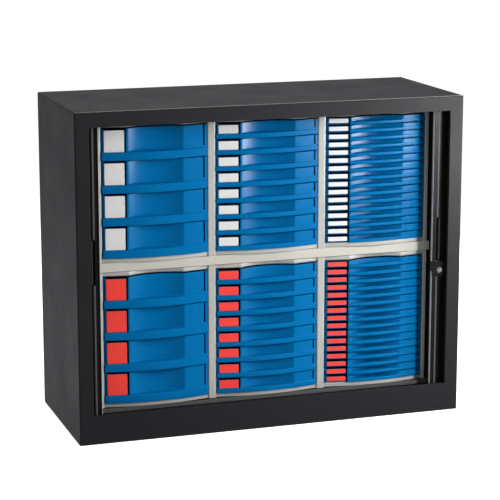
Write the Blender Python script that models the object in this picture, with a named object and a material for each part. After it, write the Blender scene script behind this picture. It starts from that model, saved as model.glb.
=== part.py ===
"""Low roll-shutter cabinet holding six blocks of pull-out drawers.

Metres, +Z up, front towards -Y. The origin is on the floor, under the middle of the cabinet.
"""

import math

import bmesh
import bpy
from mathutils import Matrix, Vector

# Steel body
CABINET_WIDTH = 1.200
CABINET_DEPTH = 0.480
CABINET_HEIGHT = 0.980
SHEET = 0.0012
EDGE_RADIUS = 0.004
STILE_WIDTH = 0.043
FASCIA_HEIGHT = 0.045
PLINTH_HEIGHT = 0.085
FRAME_RETURN = 0.014
EDGE_RETURN = 0.020
FLOOR_STEP = 0.001
TRACK_DEPTH = 0.022
HEAD_DEPTH = 0.010
LINER_INSET = 0.0717
FLOOR_NOSE = 0.010
LINER_TAIL = 0.005
BACK_SPACE = 0.040
BACK_PRESSING = 0.004
BACK_BORDER = 0.060
PEG_WIDTH = 0.020
PEG_HEIGHT = 0.006
PEG_INSET = 0.060

# Shelf between the two rows of blocks
SHELF_HEIGHT = 0.027
SHELF_OVERHANG = 0.004
SHELF_SIDE_GAP = 0.003
SHELF_GAP = 0.001

# Roll shutters: a stiff lead bar on each, with slats behind it
BAR_WIDTH = 0.051
BAR_THICKNESS = 0.020
BAR_SETBACK = 0.0165
BAR_LIP_WIDTH = 0.006
BAR_LIP_STEP = 0.002
BAR_BAND = 0.0245
BAR_RECESS = 0.008
LEFT_BAR_SHOWN = 0.030
RIGHT_BAR_SHOWN = 0.044
HOOK_INSET = 0.018
HOOK_WIDTH = 0.004
GRIP_HEIGHT = 0.136
GRIP_WIDTH = 0.009
GRIP_DEPTH = 0.010
GRIP_INSET = 0.0185
GRIP_CENTRE = 0.540
GRIP_END_SEGMENTS = 4
LOCK_RADIUS = 0.0095
LOCK_DEPTH = 0.014
LOCK_PROUD = 0.005
LOCK_DROP = 0.097
LOCK_PLATE_PROUD = 0.0005
LOCK_PLATE_INSET = 0.001
LOCK_PLATE_WIDTH = 0.042
LOCK_PLATE_ABOVE = 0.026
LOCK_PLATE_BELOW = 0.020
ROUND_SEGMENTS = 20
KEYWAY_WIDTH = 0.0022
KEYWAY_HEIGHT = 0.010
KEYWAY_DEPTH = 0.004
SLAT_PITCH = 0.022
SLAT_THICKNESS = 0.008
SLAT_GROOVE = 0.003
SLAT_GROOVE_SHARE = 0.14
CURTAIN_GAP = 0.0025
CURTAIN_INSET = 0.012
CURTAIN_BACK_INSET = 0.018
CURTAIN_BEND = 0.028
SHUTTER_CLEARANCE = 0.003

# Drawer blocks: three columns in each of two rows
COLUMNS = 3
BLOCK_SIDE_GAP = 0.010
BLOCK_GAP = 0.0005
CASING_WALL = 0.012
CASING_SKIN = 0.004
CASING_PANEL = 0.013
CASING_BACK = 0.003
FRONT_RECESS = 0.012
RUNNER_THICKNESS = 0.003

# Drawers: one moulding each, with a bowed front that has a scoop over a pull lip
FRONT_INSET = 0.001
FRONT_GAP = 0.001
FRONT_SIDE_GAP = 0.0005
FRONT_WALL = 0.0025
FRONT_BOW = 0.0185
FLAT_ZONE = 0.077
SCOOP_DEPTH = 0.022
LIP_LEDGE = 0.0025
NOSE_SETBACK = 0.001
HOLLOW_REACH = 0.9
TRAY_WALL = 0.002
TRAY_GAP = 0.001
TRAY_END_GAP = 0.006
FLANGE_WIDTH = 0.006
FLANGE_THICKNESS = 0.002
RIM_DROP = 0.003

# Each kind of block: name, number of drawers, lip height, how proud the lip is, segments along the scoop
BLOCK_KINDS = (
    ("deep", 4, 0.0250, 0.0040, 6),
    ("medium", 8, 0.0145, 0.0030, 6),
    ("slim", 16, 0.0100, 0.0012, 4),
)
# In a slim block every third drawer from the top is moulded to its casing
FIXED_STEP = 3

# Clearances shared by all fits
SEAT_GAP = 0.0003
RUN_GAP = 0.0003
WELD_OVERLAP = 0.0002

# Places worked out from the sizes above
HALF_WIDTH = CABINET_WIDTH / 2
FRONT = -CABINET_DEPTH / 2
BACK = CABINET_DEPTH / 2
OPENING_HALF = HALF_WIDTH - STILE_WIDTH
OPENING_TOP = CABINET_HEIGHT - FASCIA_HEIGHT
FLOOR_TOP = PLINTH_HEIGHT + FLOOR_STEP
TRACK_TOP = FLOOR_TOP - TRACK_DEPTH
HEAD_UNDERSIDE = OPENING_TOP + HEAD_DEPTH
LINER_HALF = HALF_WIDTH - LINER_INSET

BAR_FRONT = FRONT + BAR_SETBACK
BAR_BACK = BAR_FRONT + BAR_THICKNESS
CURTAIN_Y = BAR_BACK + CURTAIN_GAP + SLAT_THICKNESS / 2
CURTAIN_X = HALF_WIDTH - CURTAIN_INSET
CURTAIN_REAR = BACK - CURTAIN_BACK_INSET
SHUTTER_BOTTOM = TRACK_TOP + SEAT_GAP
SHUTTER_TOP = HEAD_UNDERSIDE - SEAT_GAP
LOCK_CENTRE = GRIP_CENTRE - LOCK_DROP

LIP_REACH = FRONT_BOW + max(proud for _, _, _, proud, _ in BLOCK_KINDS)
BLOCK_FRONT = CURTAIN_Y + SLAT_THICKNESS / 2 + SHUTTER_CLEARANCE + LIP_REACH - FRONT_INSET
BLOCK_BACK = BACK - BACK_SPACE
BACK_FACE = BACK - SHEET - SEAT_GAP
PLATE_BACK = BACK_FACE - SHEET - BACK_PRESSING - SEAT_GAP
CASING_WIDTH = (2 * (LINER_HALF - BLOCK_SIDE_GAP) - (COLUMNS - 1) * BLOCK_GAP) / COLUMNS
CASING_HEIGHT = (OPENING_TOP - FLOOR_TOP - SHELF_HEIGHT - SHELF_GAP - 2 * SEAT_GAP) / 2
STACK_HEIGHT = CASING_HEIGHT - 2 * CASING_PANEL
LOWER_BASE = FLOOR_TOP + SEAT_GAP
SHELF_BOTTOM = LOWER_BASE + CASING_HEIGHT + SHELF_GAP
UPPER_BASE = SHELF_BOTTOM + SHELF_HEIGHT + SEAT_GAP
ROWS = (("upper", UPPER_BASE), ("lower", LOWER_BASE))

FRONT_HALF = CASING_WIDTH / 2 - CASING_WALL - FRONT_SIDE_GAP
SCOOP_HALF = FRONT_HALF - FLAT_ZONE
SCOOP_RADIUS = (SCOOP_HALF**2 + SCOOP_DEPTH**2) / (2 * SCOOP_DEPTH)
RIM_REACH = FRONT_BOW * (1 - (SCOOP_HALF / FRONT_HALF) ** 2)
TRAY_HALF = FRONT_HALF - FLANGE_WIDTH
RUNNER_HALF = TRAY_HALF + TRAY_GAP
TRAY_END = BLOCK_BACK - CASING_BACK - TRAY_END_GAP - BLOCK_FRONT - FRONT_INSET


def remove_everything():
    for old in list(bpy.data.objects):
        bpy.data.objects.remove(old, do_unlink=True)


def make_material(name, colour, roughness, metallic=0.0):
    material = bpy.data.materials.new(name)
    material.use_nodes = True
    shader = material.node_tree.nodes["Principled BSDF"]
    shader.inputs["Base Color"].default_value = (*colour, 1.0)
    shader.inputs["Roughness"].default_value = roughness
    shader.inputs["Metallic"].default_value = metallic
    return material


def mesh_from_bmesh(name, bm):
    mesh = bpy.data.meshes.new(name)
    bm.to_mesh(mesh)
    bm.free()
    return mesh


def loft(name, rings):
    """A closed solid through rings of points that all have the same count."""
    bm = bmesh.new()
    loops = [[bm.verts.new(point) for point in ring] for ring in rings]
    for near, far in zip(loops, loops[1:]):
        for i, corner in enumerate(near):
            after = (i + 1) % len(near)
            bm.faces.new((corner, near[after], far[after], far[i]))
    bm.faces.new(list(reversed(loops[0])))
    bm.faces.new(loops[-1])
    bmesh.ops.recalc_face_normals(bm, faces=bm.faces)
    return mesh_from_bmesh(name, bm)


def plan_prism(name, outline, bottom, top):
    """An (x, y) outline raised from bottom to top."""
    return loft(name, [[(x, y, z) for x, y in outline] for z in (bottom, top)])


def section_prism(name, outline, front, back):
    """An (x, z) outline run from front to back."""
    return loft(name, [[(x, y, z) for x, z in outline] for y in (front, back)])


def block(name, low, high):
    """A plain block between two corners."""
    outline = ((low[0], low[1]), (high[0], low[1]), (high[0], high[1]), (low[0], high[1]))
    return plan_prism(name, outline, low[2], high[2])


def combine(mesh, operation, others):
    """The mesh after a Boolean with each of the other meshes in turn."""
    for other in others:
        body = bpy.data.objects.new("body", mesh)
        tool = bpy.data.objects.new("tool", other)
        for item in (body, tool):
            bpy.context.scene.collection.objects.link(item)
        modifier = body.modifiers.new("combine", "BOOLEAN")
        modifier.operation = operation
        modifier.solver = "EXACT"
        modifier.object = tool
        evaluated = body.evaluated_get(bpy.context.evaluated_depsgraph_get())
        mesh = bpy.data.meshes.new_from_object(evaluated)
        for item in (body, tool):
            bpy.data.objects.remove(item, do_unlink=True)
    return mesh


def sheet_metal(bm):
    """A folded surface that looks outwards, given the thickness of the sheet on its inside."""
    bm.normal_update()
    body = bpy.data.objects.new("body", mesh_from_bmesh("sheet", bm))
    bpy.context.scene.collection.objects.link(body)
    modifier = body.modifiers.new("thickness", "SOLIDIFY")
    modifier.thickness = SHEET
    modifier.offset = -1.0
    modifier.use_even_offset = True
    evaluated = body.evaluated_get(bpy.context.evaluated_depsgraph_get())
    mesh = bpy.data.meshes.new_from_object(evaluated)
    bpy.data.objects.remove(body, do_unlink=True)
    return mesh


def clamp(value, reach):
    return max(-reach, min(reach, value))


def moved(mesh, offset):
    copy = mesh.copy()
    copy.transform(Matrix.Translation(offset))
    return copy


# Steel body


def front_faces(bm):
    return [face for face in bm.faces if face.normal.y < -0.999]


def cabinet_wrap():
    """Sides, top and front frame as one folded surface, open at the back and below."""
    bm = bmesh.new()
    bmesh.ops.create_cube(bm, size=1.0)
    bmesh.ops.scale(bm, vec=(CABINET_WIDTH, CABINET_DEPTH, CABINET_HEIGHT), verts=bm.verts)
    bmesh.ops.translate(bm, vec=(0, 0, CABINET_HEIGHT / 2), verts=bm.verts)
    open_sides = [face for face in bm.faces if face.normal.y > 0.9 or face.normal.z < -0.9]
    bmesh.ops.delete(bm, geom=open_sides, context="FACES")
    folds = [edge for edge in bm.edges if len(edge.link_faces) == 2]
    bmesh.ops.bevel(bm, geom=folds, offset=EDGE_RADIUS, segments=2, profile=0.5, affect="EDGES")
    bm.normal_update()
    cuts = (
        (Vector((-OPENING_HALF, 0, 0)), Vector((1, 0, 0))),
        (Vector((OPENING_HALF, 0, 0)), Vector((1, 0, 0))),
        (Vector((0, 0, PLINTH_HEIGHT)), Vector((0, 0, 1))),
        (Vector((0, 0, OPENING_TOP)), Vector((0, 0, 1))),
    )
    for point, normal in cuts:
        faces = front_faces(bm)
        edges = {edge for face in faces for edge in face.edges}
        corners = {vert for face in faces for vert in face.verts}
        bmesh.ops.bisect_plane(bm, geom=[*faces, *edges, *corners], plane_co=point, plane_no=normal)
    hole = [
        face
        for face in front_faces(bm)
        if abs(face.calc_center_median().x) < OPENING_HALF
        and PLINTH_HEIGHT < face.calc_center_median().z < OPENING_TOP
    ]
    rim = [edge for face in hole for edge in face.edges]
    bmesh.ops.delete(bm, geom=hole, context="FACES_ONLY")
    fold_edges(bm, rim, lambda point: point + Vector((0, FRAME_RETURN, 0)))
    outer = [edge for edge in bm.edges if len(edge.link_faces) == 1 and on_outer_rim(edge)]
    fold_edges(bm, outer, inner_return)
    return sheet_metal(bm)


def on_outer_rim(edge):
    """Whether an edge lies along the floor or along the back."""
    low = all(vert.co.z < EDGE_RADIUS / 2 for vert in edge.verts)
    rear = all(vert.co.y > BACK - EDGE_RADIUS / 2 for vert in edge.verts)
    return low or rear


def fold_edges(bm, edges, place):
    """Extrude a strip from the edges and put its far side where place says."""
    made = bmesh.ops.extrude_edge_only(bm, edges=edges)["geom"]
    strip = [item for item in made if isinstance(item, bmesh.types.BMVert)]
    for vert in strip:
        vert.co = place(vert.co.copy())
    bmesh.ops.remove_doubles(bm, verts=strip, dist=EDGE_RADIUS / 100)


def inner_return(point):
    """Where the inward fold of the foot or of the back edge ends."""
    inside = HALF_WIDTH - EDGE_RETURN
    return Vector(
        (
            clamp(point.x, inside),
            max(point.y, FRONT + EDGE_RETURN),
            min(point.z, CABINET_HEIGHT - EDGE_RETURN),
        )
    )


def liner_outline():
    """Floor and inner sides as one bent sheet, seen from the front."""
    outer = LINER_HALF + SHEET
    top = HEAD_UNDERSIDE + SHEET / 2
    under = FLOOR_TOP - SHEET
    return (
        (-outer, top),
        (-outer, under),
        (outer, under),
        (outer, top),
        (LINER_HALF, top),
        (LINER_HALF, FLOOR_TOP),
        (-LINER_HALF, FLOOR_TOP),
        (-LINER_HALF, top),
    )


def shelf_pegs():
    """Four pegs on the inner sides, under the ends of the shelf."""
    top = SHELF_BOTTOM - SEAT_GAP
    inner = LINER_HALF - BLOCK_SIDE_GAP + BLOCK_GAP
    outer = LINER_HALF + SHEET / 2
    for side in (-1, 1):
        for y in (BLOCK_FRONT + PEG_INSET, BLOCK_BACK - PEG_INSET):
            xs = sorted((side * inner, side * outer))
            low = (xs[0], y - PEG_WIDTH / 2, top - PEG_HEIGHT)
            high = (xs[1], y + PEG_WIDTH / 2, top)
            yield block("peg", low, high)


def carcass_mesh():
    inside = HALF_WIDTH - SHEET / 2
    front = FRONT + SHEET / 2
    floor_front = BLOCK_FRONT - FLOOR_NOSE
    outer = LINER_HALF + SHEET
    base = block("base", (-inside, front, TRACK_TOP - SHEET), (inside, PLATE_BACK, TRACK_TOP))
    head = block("head", (-inside, front, HEAD_UNDERSIDE), (inside, PLATE_BACK, HEAD_UNDERSIDE + SHEET))
    liner = section_prism("liner", liner_outline(), floor_front, BLOCK_BACK + LINER_TAIL)
    apron_low = (-outer, floor_front + SHEET / 2, TRACK_TOP - SHEET / 2)
    apron_high = (outer, floor_front + 3 * SHEET / 2, FLOOR_TOP - SHEET / 2)
    apron = block("apron", apron_low, apron_high)
    return combine(cabinet_wrap(), "UNION", [base, head, liner, apron, *shelf_pegs()])


def back_panel_mesh():
    """A steel sheet with its middle pressed inwards to stiffen it."""
    half = HALF_WIDTH - EDGE_RADIUS
    low = SHEET + SEAT_GAP
    high = CABINET_HEIGHT - EDGE_RADIUS
    bm = bmesh.new()
    corners = [(half, low), (-half, low), (-half, high), (half, high)]
    face = bm.faces.new([bm.verts.new((x, BACK_FACE, z)) for x, z in corners])
    bm.normal_update()
    for thickness, depth in ((BACK_BORDER, 0), (BACK_PRESSING, -BACK_PRESSING)):
        bmesh.ops.inset_region(
            bm, faces=[face], thickness=thickness, depth=depth, use_boundary=True, use_even_offset=True
        )
    return sheet_metal(bm)


def shelf_mesh():
    """A shallow tray, upside down: a top with a fold down on each edge."""
    half = LINER_HALF - SHELF_SIDE_GAP
    front = BLOCK_FRONT - SHELF_OVERHANG
    top = SHELF_BOTTOM + SHELF_HEIGHT
    bm = bmesh.new()
    corners = [(-half, front), (half, front), (half, BLOCK_BACK), (-half, BLOCK_BACK)]
    face = bm.faces.new([bm.verts.new((x, y, top)) for x, y in corners])
    fold_edges(bm, list(face.edges), lambda point: point - Vector((0, 0, SHELF_HEIGHT)))
    return sheet_metal(bm)


# Roll shutters


def bar_edges():
    """Each lead bar's side (-1 left, 1 right) with its inner edge's distance from the middle."""
    return {
        "left": (-1, OPENING_HALF - LEFT_BAR_SHOWN),
        "right": (1, OPENING_HALF - RIGHT_BAR_SHOWN),
    }


def bar_outline(side, edge):
    """The lead bar's section from above: a lip, a raised band, a recess and a hook for the first slat."""
    step = BAR_FRONT + BAR_LIP_STEP
    recess = step + BAR_RECESS
    hook = edge + HOOK_INSET
    hook_end = BAR_BACK + CURTAIN_GAP + SLAT_THICKNESS
    points = (
        (edge, BAR_BACK),
        (edge, BAR_FRONT),
        (edge + BAR_LIP_WIDTH, BAR_FRONT),
        (edge + BAR_LIP_WIDTH + BAR_LIP_STEP, step),
        (edge + BAR_BAND, step),
        (edge + BAR_BAND + BAR_LIP_STEP, recess),
        (edge + BAR_WIDTH, recess),
        (edge + BAR_WIDTH, BAR_BACK),
        (hook + HOOK_WIDTH, BAR_BACK),
        (hook + HOOK_WIDTH, hook_end),
        (hook, hook_end),
        (hook, BAR_BACK),
    )
    return [(side * x, y) for x, y in points]


def arc(centre, radius, start, end, steps):
    """Points on a circle from one angle to another, in degrees."""
    angles = [math.radians(start + (end - start) * i / steps) for i in range(steps + 1)]
    return [(centre[0] + radius * math.cos(a), centre[1] + radius * math.sin(a)) for a in angles]


def circle(centre, radius):
    return arc(centre, radius, 0, 360, ROUND_SEGMENTS)[:-1]


def grip_outline(middle):
    radius = GRIP_WIDTH / 2
    straight = GRIP_HEIGHT / 2 - radius
    upper = arc((middle, GRIP_CENTRE + straight), radius, 0, 180, GRIP_END_SEGMENTS)
    lower = arc((middle, GRIP_CENTRE - straight), radius, 180, 360, GRIP_END_SEGMENTS)
    return upper + lower


def lock_place():
    side, edge = bar_edges()["right"]
    return Vector((side * (edge + BAR_WIDTH / 2), BAR_FRONT + BAR_LIP_STEP, LOCK_CENTRE))


def lock_plate():
    """The plate round the lock, laid over the band and the recess of the right-hand bar."""
    edge = bar_edges()["right"][1] + LOCK_PLATE_INSET
    low = (edge, BAR_FRONT - LOCK_PLATE_PROUD, LOCK_CENTRE - LOCK_PLATE_BELOW)
    back = BAR_FRONT + BAR_LIP_STEP + BAR_RECESS + WELD_OVERLAP
    high = (edge + LOCK_PLATE_WIDTH, back, LOCK_CENTRE + LOCK_PLATE_ABOVE)
    return block("lock plate", low, high)


def lead_bar_mesh(name):
    side, edge = bar_edges()[name]
    face = BAR_FRONT + BAR_LIP_STEP
    bar = plan_prism("bar", bar_outline(side, edge), SHUTTER_BOTTOM, SHUTTER_TOP)
    grip = grip_outline(side * (edge + GRIP_INSET))
    cuts = [section_prism("grip", grip, BAR_FRONT - GRIP_DEPTH, face + GRIP_DEPTH)]
    if name == "right":
        bar = combine(bar, "UNION", [lock_plate()])
        place = lock_place()
        hole = circle((place.x, place.z), LOCK_RADIUS + SEAT_GAP)
        cuts.append(section_prism("lock hole", hole, BAR_FRONT - LOCK_DEPTH, face + LOCK_DEPTH))
    return combine(bar, "DIFFERENCE", cuts)


def lock_mesh():
    """A round lock barrel about the Y axis, with a keyway in its face; its origin is on that axis."""
    rim = circle((0, 0), LOCK_RADIUS)
    barrel = section_prism("barrel", rim, -LOCK_PROUD, LOCK_DEPTH - SEAT_GAP)
    low = (-KEYWAY_WIDTH / 2, -LOCK_PROUD - KEYWAY_DEPTH, -KEYWAY_HEIGHT / 2)
    high = (KEYWAY_WIDTH / 2, KEYWAY_DEPTH - LOCK_PROUD, KEYWAY_HEIGHT / 2)
    return combine(barrel, "DIFFERENCE", [block("keyway", low, high)])


def curtain_route(start):
    """The slats' track as straight and round lengths, for the right-hand side: front, side, back."""
    bend = math.pi / 2 * CURTAIN_BEND
    return (
        ("line", CURTAIN_X - CURTAIN_BEND - start, Vector((start, CURTAIN_Y)), 0.0),
        ("bend", bend, Vector((CURTAIN_X - CURTAIN_BEND, CURTAIN_Y + CURTAIN_BEND)), 0.0),
        (
            "line",
            CURTAIN_REAR - CURTAIN_Y - 2 * CURTAIN_BEND,
            Vector((CURTAIN_X, CURTAIN_Y + CURTAIN_BEND)),
            math.pi / 2,
        ),
        ("bend", bend, Vector((CURTAIN_X - CURTAIN_BEND, CURTAIN_REAR - CURTAIN_BEND)), math.pi / 2),
        ("line", math.inf, Vector((CURTAIN_X - CURTAIN_BEND, CURTAIN_REAR)), math.pi),
    )


def on_route(route, distance, offset):
    """The point at a distance along the route, moved outwards by offset."""
    for kind, length, point, heading in route:
        if distance <= length:
            break
        distance -= length
    if kind == "line":
        along = Vector((math.cos(heading), math.sin(heading)))
        outward = Vector((along.y, -along.x))
        return point + along * distance + outward * offset
    angle = heading - math.pi / 2 + distance / CURTAIN_BEND
    return point + Vector((math.cos(angle), math.sin(angle))) * (CURTAIN_BEND + offset)


def curtain_mesh(name):
    """The slats as they lie with the shutter open: round the corner and along the inside of the side."""
    side, edge = bar_edges()[name]
    route = curtain_route(edge + HOOK_INSET + HOOK_WIDTH + SEAT_GAP)
    slats = math.ceil(OPENING_HALF / SLAT_PITCH)
    half = SLAT_THICKNESS / 2
    groove = SLAT_GROOVE_SHARE * SLAT_PITCH
    outer = []
    inner = []
    for slat in range(slats):
        start = slat * SLAT_PITCH
        outer.append(on_route(route, start, half - SLAT_GROOVE))
        outer.append(on_route(route, start + groove, half))
        outer.append(on_route(route, start + SLAT_PITCH - groove, half))
        inner.append(on_route(route, start, -half))
    end = slats * SLAT_PITCH
    outer.append(on_route(route, end, half - SLAT_GROOVE))
    inner.append(on_route(route, end, -half))
    outline = [(side * point.x, point.y) for point in outer + inner[::-1]]
    return plan_prism("curtain", outline, SHUTTER_BOTTOM, SHUTTER_TOP)


# Drawers, with x = 0 in the middle, y = 0 at both ends of the front and z = 0 at the bottom of the pitch


def bow_y(x):
    """The line that the front follows from end to end, bowed forward in the middle."""
    return -FRONT_BOW * (1 - (x / FRONT_HALF) ** 2)


def front_y(x):
    """The front's surface: a flat on the bow at each end, an arc of a circle scooped out between them."""
    if abs(x) >= SCOOP_HALF:
        return -RIM_REACH * (FRONT_HALF - abs(x)) / FLAT_ZONE
    return SCOOP_DEPTH - RIM_REACH - SCOOP_RADIUS + math.sqrt(SCOOP_RADIUS**2 - x**2)


def scoop_stations(segments):
    """Places across the scoop, from left to right, evenly spaced along its arc."""
    reach = math.asin(SCOOP_HALF / SCOOP_RADIUS)
    inside = [SCOOP_RADIUS * math.sin(reach * (2 * i / segments - 1)) for i in range(1, segments)]
    return [-SCOOP_HALF, *inside, SCOOP_HALF]


def hollow_outline(proud, segments):
    """The finger space between the back of the lip and the scoop, seen from above."""
    inside = scoop_stations(segments)[1:-1]
    inside = (inside[0], inside[len(inside) // 2], inside[-1])
    tip = HOLLOW_REACH * SCOOP_HALF
    behind_lip = FRONT_WALL - proud
    tip_y = (bow_y(tip) + behind_lip + front_y(tip)) / 2
    outline = [(-tip, tip_y), *((x, bow_y(x) + behind_lip) for x in inside)]
    return outline + [(tip, tip_y), *((x, front_y(x)) for x in reversed(inside))]


def drawer_front(pitch, lip, proud, segments):
    """The front from end to end, with the lip's hollow for the fingers cut from below."""
    low = FRONT_GAP / 2
    high = pitch - FRONT_GAP / 2
    rings = []
    for x in (-FRONT_HALF, *scoop_stations(segments), FRONT_HALF):
        section = (
            (bow_y(x) - proud, low),
            (bow_y(x) - proud, lip),
            (front_y(x), lip),
            (front_y(x), high),
            (front_y(x) + FRONT_WALL, high),
            (front_y(x) + FRONT_WALL, low),
        )
        rings.append([(x, y, z) for y, z in section])
    hollow = plan_prism("hollow", hollow_outline(proud, segments), low - lip, lip - LIP_LEDGE)
    return combine(loft("front", rings), "DIFFERENCE", [hollow])


def rim_height(pitch):
    return pitch - RIM_DROP


def tray_section(pitch):
    """The tray seen from the front: straight sides with a flange along each side of the rim."""
    low = FRONT_GAP / 2
    rim = rim_height(pitch)
    under = rim - FLANGE_THICKNESS
    right = [(TRAY_HALF, low), (TRAY_HALF, under), (FRONT_HALF, under), (FRONT_HALF, rim)]
    return right + [(-x, z) for x, z in reversed(right)]


def drawer_mesh(pitch, lip, proud, segments):
    """One moulding: a front with an open tray behind it that follows the front's curves."""
    floor = FRONT_GAP / 2 + TRAY_WALL
    joint = FRONT_WALL / 2
    room_front = FRONT_WALL - WELD_OVERLAP
    inner = TRAY_HALF - TRAY_WALL
    past = FRONT_HALF + FRONT_SIDE_GAP
    curve = scoop_stations(segments)
    room = [(x, front_y(x) + room_front) for x in (-inner, *curve, inner)]
    room += [(inner, TRAY_END - TRAY_WALL), (-inner, TRAY_END - TRAY_WALL)]
    ahead = [(x, front_y(x) + joint) for x in (-past, *curve, past)]
    ahead += [(past, -2 * FRONT_BOW), (-past, -2 * FRONT_BOW)]
    cuts = [plan_prism("room", room, floor, 2 * pitch), plan_prism("ahead", ahead, -pitch, 2 * pitch)]
    tray = section_prism("tray", tray_section(pitch), -FRONT_BOW, TRAY_END)
    tray = combine(tray, "DIFFERENCE", cuts)
    return combine(tray, "UNION", [drawer_front(pitch, lip, proud, segments)])


# Casings, with x = 0 in the middle, y = 0 on the front and z = 0 underneath


def drawer_base(pitch, number):
    """Height of the drawer that is this far down from the top, counting from 1."""
    return CASING_PANEL + STACK_HEIGHT - number * pitch


def comb_outline(count):
    """The space for the trays seen from the front, with a runner left under each flange."""
    pitch = STACK_HEIGHT / count
    wide = CASING_WIDTH / 2 - CASING_SKIN
    runner_top = rim_height(pitch) - FLANGE_THICKNESS - RUN_GAP
    right = [(wide, CASING_PANEL)]
    for number in range(count, 0, -1):
        top = drawer_base(pitch, number) + runner_top
        bottom = top - RUNNER_THICKNESS
        right += [(wide, bottom), (RUNNER_HALF, bottom), (RUNNER_HALF, top), (wide, top)]
    right.append((wide, CASING_PANEL + STACK_HEIGHT))
    return right + [(-x, z) for x, z in reversed(right)]


def fixed_numbers(kind, count):
    if kind != "slim":
        return []
    return list(range(FIXED_STEP, count, FIXED_STEP))


def casing_mesh(kind, count, segments, drawer):
    """A box open at the front, whose top and bottom edges follow the front's curves."""
    half = CASING_WIDTH / 2
    depth = BLOCK_BACK - BLOCK_FRONT
    recess_half = FRONT_HALF + FRONT_SIDE_GAP
    stack_top = CASING_PANEL + STACK_HEIGHT
    past = CASING_PANEL / 2
    body = block("casing", (-half, 0, 0), (half, depth, CASING_HEIGHT))
    comb = section_prism("trays", comb_outline(count), FRONT_RECESS, depth - CASING_BACK)
    recess_high = (recess_half, FRONT_RECESS + SEAT_GAP, stack_top)
    recess = block("recess", (-recess_half, -past, CASING_PANEL), recess_high)
    curve = scoop_stations(segments)
    arch = [(x, FRONT_INSET + FRONT_WALL + front_y(x)) for x in curve]
    arch += [(SCOOP_HALF, -2 * FRONT_BOW), (-SCOOP_HALF, -2 * FRONT_BOW)]
    arch_cut = plan_prism("arch", arch, stack_top - past, CASING_HEIGHT + past)
    body = combine(body, "DIFFERENCE", [comb, recess, arch_cut])
    brow = [(x, FRONT_INSET + front_y(x)) for x in (-FRONT_HALF, *curve, FRONT_HALF)]
    brow += [(FRONT_HALF, SCOOP_DEPTH), (-FRONT_HALF, SCOOP_DEPTH)]
    every_other = (-FRONT_HALF, *curve[::2], FRONT_HALF)
    nose = [(x, FRONT_INSET + NOSE_SETBACK + bow_y(x)) for x in every_other]
    nose += [(FRONT_HALF, CASING_SKIN), (-FRONT_HALF, CASING_SKIN)]
    pitch = STACK_HEIGHT / count
    parts = [plan_prism("brow", brow, stack_top + WELD_OVERLAP, CASING_HEIGHT - WELD_OVERLAP)]
    parts.append(plan_prism("nose", nose, WELD_OVERLAP, CASING_PANEL - WELD_OVERLAP))
    sunk = RUN_GAP + WELD_OVERLAP
    for number in fixed_numbers(kind, count):
        parts.append(moved(drawer, (0, FRONT_INSET, drawer_base(pitch, number) - sunk)))
    return combine(body, "UNION", parts)


# Assembly


def add(name, mesh, material, parent, location=(0, 0, 0)):
    mesh.materials.clear()
    mesh.materials.append(material)
    node = bpy.data.objects.new(name, mesh)
    node.location = location
    node.parent = parent
    bpy.context.scene.collection.objects.link(node)
    return node


def shade_round(mesh):
    mesh.shade_smooth()
    mesh.set_sharp_from_angle(angle=math.radians(30))


def build():
    remove_everything()
    black = make_material("black_paint", (0.012, 0.012, 0.014), 0.45)
    off_white = make_material("off_white_paint", (0.52, 0.505, 0.45), 0.45)
    grey = make_material("grey_casing", (0.47, 0.47, 0.445), 0.40)
    blue = make_material("blue_drawer", (0.001, 0.165, 0.440), 0.30)
    dark = make_material("dark_shutter", (0.009, 0.009, 0.011), 0.40)
    chrome = make_material("lock_chrome", (0.75, 0.75, 0.76), 0.15, 1.0)

    cabinet = bpy.data.objects.new("cabinet", None)
    bpy.context.scene.collection.objects.link(cabinet)
    add("carcass", carcass_mesh(), black, cabinet)
    add("back_panel", back_panel_mesh(), black, cabinet)
    add("shelf", shelf_mesh(), off_white, cabinet)
    for name in bar_edges():
        add(f"lead_bar_{name}", lead_bar_mesh(name), dark, cabinet)
        curtain = curtain_mesh(name)
        shade_round(curtain)
        add(f"curtain_{name}", curtain, dark, cabinet)
    barrel = lock_mesh()
    shade_round(barrel)
    add("lock_barrel", barrel, chrome, cabinet, lock_place())

    column_pitch = CASING_WIDTH + BLOCK_GAP
    for column, (kind, count, lip, proud, segments) in enumerate(BLOCK_KINDS):
        x = (column - (COLUMNS - 1) / 2) * column_pitch
        pitch = STACK_HEIGHT / count
        drawer = drawer_mesh(pitch, lip, proud, segments)
        shade_round(drawer)
        casing = casing_mesh(kind, count, segments, drawer)
        for row, base in ROWS:
            add(f"casing_{kind}_{row}", casing, grey, cabinet, (x, BLOCK_FRONT, base))
            for number in range(1, count + 1):
                if number in fixed_numbers(kind, count):
                    continue
                place = (x, BLOCK_FRONT + FRONT_INSET, base + drawer_base(pitch, number))
                add(f"drawer_{kind}_{row}_{number}", drawer, blue, cabinet, place)


build()
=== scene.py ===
import math

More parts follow.
